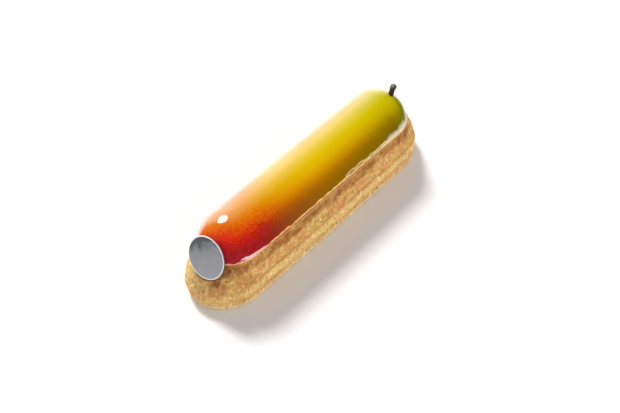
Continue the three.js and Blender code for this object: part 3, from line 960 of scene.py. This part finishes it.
def glaze_material():
    """Mirror glaze: spray over the crown's colour, then the blush, the film and the bead."""
    s = Shading("mirror_glaze")
    along = s.attribute("along")
    speckle = s.spread(s.noise(*SPECKLE_NOISE), *SPECKLE_RANGE)
    side = s.math("MULTIPLY_ADD", speckle, s.spread(along, *SPECKLE_ALONG), s.attribute("side"))
    centred = s.math("SUBTRACT", along, HAZE_SHIFT / 2)
    shifted = s.math("MULTIPLY_ADD", s.noise(*HAZE_NOISE), HAZE_SHIFT, centred)
    spray = s.spread(side, s.spread(along, *SPRAY_START), s.spread(along, *SPRAY_FULL))
    color = s.mix(spray, WHITE, s.ramp(shifted, SIDE_TINT))
    color = s.mix(1.0, s.ramp(shifted, CROWN_SPRAY), color, "MULTIPLY")
    # Painted shade: the low flanks are darkened, less so on the +Y side
    low = s.spread(side, s.spread(along, *PAINTED_SHADE_START), PAINTED_SHADE_FULL)
    low = s.math("MULTIPLY", low, s.attribute("shade"))
    color = s.mix(1.0, color, s.mix(low, WHITE, PAINTED_SHADE_TINT), "MULTIPLY")
    blush = s.spread(s.noise(*BLUSH_NOISE), *BLUSH_GROWTH)
    blush = s.math("MULTIPLY", blush, s.spread(along, *BLUSH_ALONG))
    color = s.mix(s.math("MULTIPLY", blush, s.spread(side, *BLUSH_SIDE)), color, CRIMSON)
    plum = s.math("MULTIPLY", s.spread(side, *PLUM_SIDE), s.spread(along, *PLUM_ALONG))
    color = s.mix(plum, color, PLUM)
    color = s.mix(s.attribute("film"), color, s.ramp(along, FILM_TINT))
    dull = s.spread(s.noise(*DULL_NOISE), *DULL_GROWTH)
    dull = s.math("MULTIPLY", dull, s.spread(along, *DULL_ALONG))
    # The bead: pale glaze brightened as a painted highlight, then flecked with painted glints
    bead = s.mix(dull, s.ramp(along, BEAD_PALE_AND_HIGHLIGHT), BEAD_DULL)
    bead = s.layer(bead, s.noise(*GLINT_NOISE), GLINT_GROWTH, BEAD_PAINTED_GLINT)
    color = s.mix(s.attribute("bead"), color, bead)
    normal = s.bump(s.noise(*RIPPLE_NOISE), *RIPPLE_BUMP)
    return s.finish({"Base Color": color, "Roughness": GLAZE_ROUGHNESS, "IOR": GLAZE_IOR, "Normal": normal})


# Greys of the plaque's face, from its top to its foot, darker to lighter as a painted reflection, its white
# rim and its dark body
PLAQUE_GREYS_AND_REFLECTION = (
    (0.0, srgb(90, 94, 98)),
    (0.16, srgb(100, 103, 107)),
    (0.3, srgb(150, 151, 155)),
    (0.5, srgb(164, 165, 169)),
    (1.0, srgb(174, 175, 180)),
)
PLAQUE_WHITE = srgb(255, 250, 245)
PLAQUE_BODY = srgb(96, 84, 80)
# How the painted reflection runs: against the way up and across, blurred by streaks
REFLECTION_UP, REFLECTION_ACROSS, GREY_STREAK = -0.38, -0.3, (0.3, 0.7, 0.42, 0.58)
STREAK_NOISE = (2.2, 3.0, 1.0)
PLAQUE_ROUGHNESS, PLAQUE_BUMP = (0.3, 0.7, 0.32, 0.45), (0.03, 0.2)


def plaque_material():
    """Satin silver-grey face with a painted reflection running dark to light, white rim and dark body."""
    s = Shading("plaque_grey")
    streak = s.noise(*STREAK_NOISE)
    # Painted reflection: the face's grey runs from dark at the top to light at the foot
    across = s.math("MULTIPLY", s.attribute("across"), REFLECTION_ACROSS)
    reflection_slope = s.math("MULTIPLY_ADD", s.attribute("up"), REFLECTION_UP, across)
    reflection_slope = s.math("ADD", reflection_slope, s.spread(streak, *GREY_STREAK))
    color = s.mix(s.attribute("white"), PLAQUE_BODY, PLAQUE_WHITE)
    color = s.mix(s.attribute("face"), color, s.ramp(reflection_slope, PLAQUE_GREYS_AND_REFLECTION))
    rough = s.spread(streak, *PLAQUE_ROUGHNESS)
    normal = s.bump(streak, *PLAQUE_BUMP)
    return s.finish({"Base Color": color, "Roughness": rough, "Normal": normal})


# Stalk
STALK_DARK = srgb(46, 34, 28)
STALK_BROWN = srgb(84, 66, 54)
STALK_PALE = srgb(150, 146, 116)
STALK_CONTACT_SHADOW = srgb(34, 22, 16)
# How its fibres, its flecked pale tip and the painted shadow at its foot grow
FIBRE_GROWTH = (-0.4, 1.2)
TIP_RISE, TIP_FLECK, TIP_LIT_SIDE = (0.78, 0.96), (0.38, 0.6, 0.2, 1.0), (0.3, 0.8)
STALK_CONTACT_SHADOW_GROWTH = (0.45, 0.33)
STALK_NOISE, STALK_BUMP = (0.7, 3.0, 1.0), (0.12, 0.6)
STALK_ROUGHNESS = 0.7


def stalk_material():
    """Dry dark brown fibres with a pale cut tip that is paler on one side as painted light, and a painted
    shadow at the foot.
    """
    s = Shading("stalk_brown")
    fleck = s.noise(*STALK_NOISE)
    rise = s.attribute("rise")
    color = s.layer(STALK_DARK, s.attribute("fibre"), FIBRE_GROWTH, STALK_BROWN)
    tip = s.math("MULTIPLY", s.spread(rise, *TIP_RISE), s.spread(fleck, *TIP_FLECK))
    # Painted light: the cut tip is pale only on the side that faces the camera's left
    tip = s.math("MULTIPLY", tip, s.spread(s.attribute("pale"), *TIP_LIT_SIDE))
    color = s.mix(tip, color, STALK_PALE)
    # Painted shadow where the stalk meets the glaze
    color = s.layer(color, rise, STALK_CONTACT_SHADOW_GROWTH, STALK_CONTACT_SHADOW)
    normal = s.bump(fleck, *STALK_BUMP)
    return s.finish({"Base Color": color, "Roughness": STALK_ROUGHNESS, "Normal": normal})


def floor_material():
    """Plain matt white."""
    s = Shading("floor")
    return s.finish({"Base Color": FLOOR_COLOR, "Roughness": FLOOR_ROUGHNESS})


# Stage


def direction(azimuth, elevation):
    """A unit vector at an azimuth from +X towards +Y and an elevation, in degrees."""
    turn, tilt = math.radians(azimuth), math.radians(elevation)
    return Vector((math.cos(tilt) * math.cos(turn), math.cos(tilt) * math.sin(turn), math.sin(tilt)))


def make_camera():
    """The photograph's camera. At azimuth 0 it looks along +Y, with +X to the right."""
    back = direction(CAMERA_AZIMUTH - 90, CAMERA_ELEVATION)
    right = direction(CAMERA_AZIMUTH, 0)
    up = back.cross(right)
    data = bpy.data.cameras.new("camera")
    data.sensor_width = SENSOR_WIDTH
    data.sensor_fit = "HORIZONTAL"
    data.lens = FOCAL_PIXELS * SENSOR_WIDTH / IMAGE_WIDTH
    data.clip_start = CAMERA_CLIP * MM
    camera = bpy.data.objects.new("camera", data)
    bpy.context.scene.collection.objects.link(camera)
    turn = Matrix((right, up, back)).transposed().to_4x4()
    camera.matrix_world = Matrix.Translation((CAMERA_TARGET + CAMERA_DISTANCE * back) * MM) @ turn
    bpy.context.scene.camera = camera


def make_lamp(name, shape, size, power, place):
    """An area light that looks at the origin. Gloss mirrors the world's glow in its place."""
    light = bpy.data.lights.new(name, "AREA")
    light.shape = shape
    light.size = size * MM
    light.energy = power
    lamp = bpy.data.objects.new(name, light)
    bpy.context.scene.collection.objects.link(lamp)
    lamp.location = place * MM
    lamp.rotation_euler = (-place).to_track_quat("-Z", "Y").to_euler()
    lamp.visible_glossy = False


def make_lights():
    """The key and the fill."""
    key = direction(KEY_AZIMUTH, KEY_ELEVATION) * KEY_DISTANCE
    make_lamp("key", "DISK", KEY_SIZE, KEY_POWER, key)
    fill = direction(FILL_AZIMUTH, FILL_ELEVATION) * FILL_DISTANCE
    make_lamp("fill", "SQUARE", FILL_SIZE, FILL_POWER, fill)


def toward(tree, place, azimuth, elevation, start, full, glow):
    """A glow that grows as a direction turns towards an axis."""
    facing = tree.nodes.new("ShaderNodeVectorMath")
    facing.operation = "DOT_PRODUCT"
    facing.inputs[1].default_value = direction(azimuth, elevation)
    tree.links.new(place, facing.inputs[0])
    fade = tree.nodes.new("ShaderNodeMapRange")
    fade.interpolation_type = "SMOOTHSTEP"
    fade.inputs["From Min"].default_value = math.cos(math.radians(start))
    fade.inputs["From Max"].default_value = math.cos(math.radians(full))
    fade.inputs["To Max"].default_value = glow
    tree.links.new(facing.outputs["Value"], fade.inputs["Value"])
    return fade.outputs["Result"]


def level_direction(tree, place):
    """A direction turned level."""
    flat = tree.nodes.new("ShaderNodeVectorMath")
    flat.operation = "MULTIPLY"
    flat.inputs[1].default_value = FLAT
    tree.links.new(place, flat.inputs[0])
    level = tree.nodes.new("ShaderNodeVectorMath")
    level.operation = "NORMALIZE"
    tree.links.new(flat.outputs["Vector"], level.inputs[0])
    return level.outputs["Vector"]


def join(tree, operation, first, second):
    """Two glows added or multiplied."""
    made = tree.nodes.new("ShaderNodeMath")
    made.operation = operation
    tree.links.new(first, made.inputs[0])
    tree.links.new(second, made.inputs[1])
    return made.outputs["Value"]


def mirrored_glow(tree):
    """The strength of what gloss mirrors in each direction."""
    place = tree.nodes.new("ShaderNodeTexCoord").outputs["Generated"]
    level = level_direction(tree, place)
    glow = join(tree, "MULTIPLY", toward(tree, level, *PANEL), toward(tree, level, *PANEL_STOP))
    for fade in (PANEL_TOP, PANEL_FOOT):
        glow = join(tree, "MULTIPLY", glow, toward(tree, place, *fade))
    for part in (GLEAM, DIFFUSER, BACKDROP, LIT_FLOOR):
        glow = join(tree, "ADD", glow, toward(tree, place, *part))
    return glow


def make_world():
    """Even light for matt surfaces, and the mirrored glow for glossy ones."""
    world = bpy.data.worlds.new("studio")
    bpy.context.scene.world = world
    world.use_nodes = True
    tree = world.node_tree
    ambient = tree.nodes["Background"]
    ambient.inputs["Color"].default_value = AMBIENT_TINT
    ambient.inputs["Strength"].default_value = AMBIENT
    glow = tree.nodes.new("ShaderNodeBackground")
    tree.links.new(mirrored_glow(tree), glow.inputs["Strength"])
    path = tree.nodes.new("ShaderNodeLightPath")
    mix = tree.nodes.new("ShaderNodeMixShader")
    tree.links.new(path.outputs["Is Glossy Ray"], mix.inputs["Fac"])
    tree.links.new(ambient.outputs["Background"], mix.inputs[1])
    tree.links.new(glow.outputs["Background"], mix.inputs[2])
    tree.links.new(mix.outputs["Shader"], tree.nodes["World Output"].inputs["Surface"])


def make_floor():
    """The floor, which gloss doesn't mirror either."""
    bpy.ops.mesh.primitive_plane_add(size=FLOOR_SIZE * MM, location=(0, 0, -FLOOR_DROP * MM))
    floor = bpy.context.object
    floor.name = "floor"
    floor.data.materials.append(floor_material())
    floor.visible_glossy = False


def dress(piece, material, node):
    """Puts a piece with its material in the place of a CAD node."""
    piece.data.materials.append(material)
    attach(piece, "root")
    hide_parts(node)


make_camera()
make_lights()
make_world()
make_floor()
bpy.context.scene.view_settings.view_transform = "Standard"

dress(make_choux(), choux_material(), "choux")
dress(make_dome(), glaze_material(), "glaze_dome")
dress(make_stalk(), stalk_material(), "stalk")
dress(make_plaque(), plaque_material(), "plaque")
